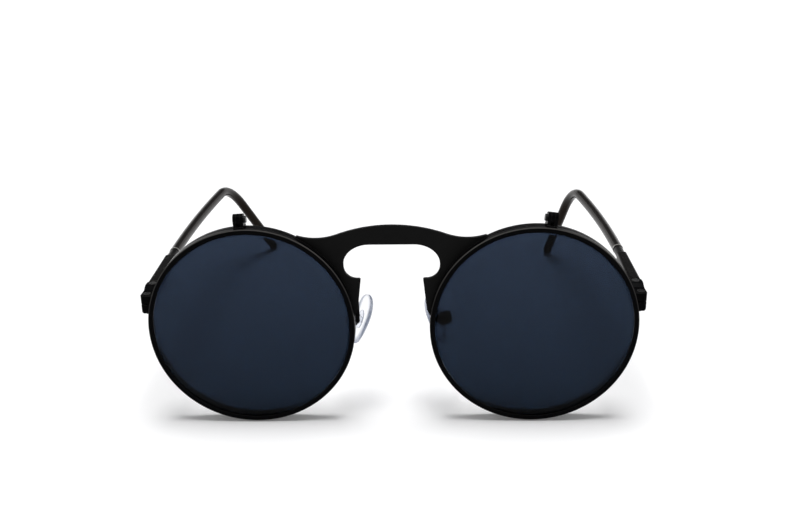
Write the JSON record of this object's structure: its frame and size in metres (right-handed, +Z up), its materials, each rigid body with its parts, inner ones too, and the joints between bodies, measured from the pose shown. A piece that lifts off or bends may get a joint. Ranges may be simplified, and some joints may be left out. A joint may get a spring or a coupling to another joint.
{
  "type": "flip-up sunglasses",
  "caption": "Round metal glasses with dark lenses that flip up on hinges in front of clear ones, a keyhole bridge plate and folding temples with ear sleeves.",
  "frame": {"origin": "on the surface the glasses stand on, under the middle of the whole part's box", "axes": "+X to the wearer's left, +Y backwards from the lenses to the ears, +Z up from the standing surface"},
  "size_m": [0.1317, 0.1296, 0.0572],
  "materials": {
    "black_metal": "satin black",
    "screw_steel": "blackened steel",
    "dark_lens": "gloss grey-blue tint",
    "clear_lens": "gloss clear",
    "pad_silicone": "clear soft",
    "sleeve_plastic": "gloss black"
  },
  "bodies": {
    "front": {"bridge_plate": "black_metal", "left_rim": "black_metal", "left_clear_lens": "clear_lens", "left_end_piece": "black_metal", "left_closing_block": "black_metal", "left_rim_screw": "screw_steel", "left_temple_screw": "screw_steel", "left_pad_arm": "black_metal", "left_pad_screw": "screw_steel", "left_flip_base": "black_metal", "right_rim": "black_metal", "right_clear_lens": "clear_lens", "right_end_piece": "black_metal", "right_closing_block": "black_metal", "right_rim_screw": "screw_steel", "right_temple_screw": "screw_steel", "right_pad_arm": "black_metal", "right_pad_screw": "screw_steel", "right_flip_base": "black_metal"},
    "left_pad": {"left_nose_pad": "pad_silicone"},
    "left_flip": {"left_flip_fork": "black_metal", "left_flip_screw": "screw_steel", "left_flip_rim": "black_metal", "left_dark_lens": "dark_lens"},
    "left_temple": {"left_temple": "black_metal", "left_temple_knuckle": "black_metal", "left_temple_sleeve": "sleeve_plastic"},
    "right_pad": {"right_nose_pad": "pad_silicone"},
    "right_flip": {"right_flip_fork": "black_metal", "right_flip_screw": "screw_steel", "right_flip_rim": "black_metal", "right_dark_lens": "dark_lens"},
    "right_temple": {"right_temple": "black_metal", "right_temple_knuckle": "black_metal", "right_temple_sleeve": "sleeve_plastic"}
  },
  "joints": [
    {"name": "left_flip_hinge", "type": "hinge", "parent": "front", "child": "left_flip", "pos_m": [0.04006, -0.06017, 0.05543], "axis": [-0.9914, 0.0052, 0.1304], "range_deg": [0, 100]},
    {"name": "left_temple_hinge", "type": "hinge", "parent": "front", "child": "left_temple", "pos_m": [0.0634, -0.05358, 0.03369], "axis": [0, 0.04, 0.9992], "range_deg": [0, 88]},
    {"name": "left_pad_rock", "type": "hinge", "parent": "front", "child": "left_pad", "pos_m": [0.0136, -0.05224, 0.02473], "axis": [0.3746, 0.9264, -0.0371], "range_deg": [-8, 8]},
    {"name": "right_flip_hinge", "type": "hinge", "parent": "front", "child": "right_flip", "pos_m": [-0.03796, -0.06016, 0.05563], "axis": [-0.9983, -0.0023, -0.0575], "range_deg": [0, 100]},
    {"name": "right_temple_hinge", "type": "hinge", "parent": "front", "child": "right_temple", "pos_m": [-0.0634, -0.05358, 0.03369], "axis": [0, -0.04, -0.9992], "range_deg": [0, 83]},
    {"name": "right_pad_rock", "type": "hinge", "parent": "front", "child": "right_pad", "pos_m": [-0.0106, -0.05224, 0.02473], "axis": [0.3746, -0.9264, 0.0371], "range_deg": [-8, 8]}
  ]
}
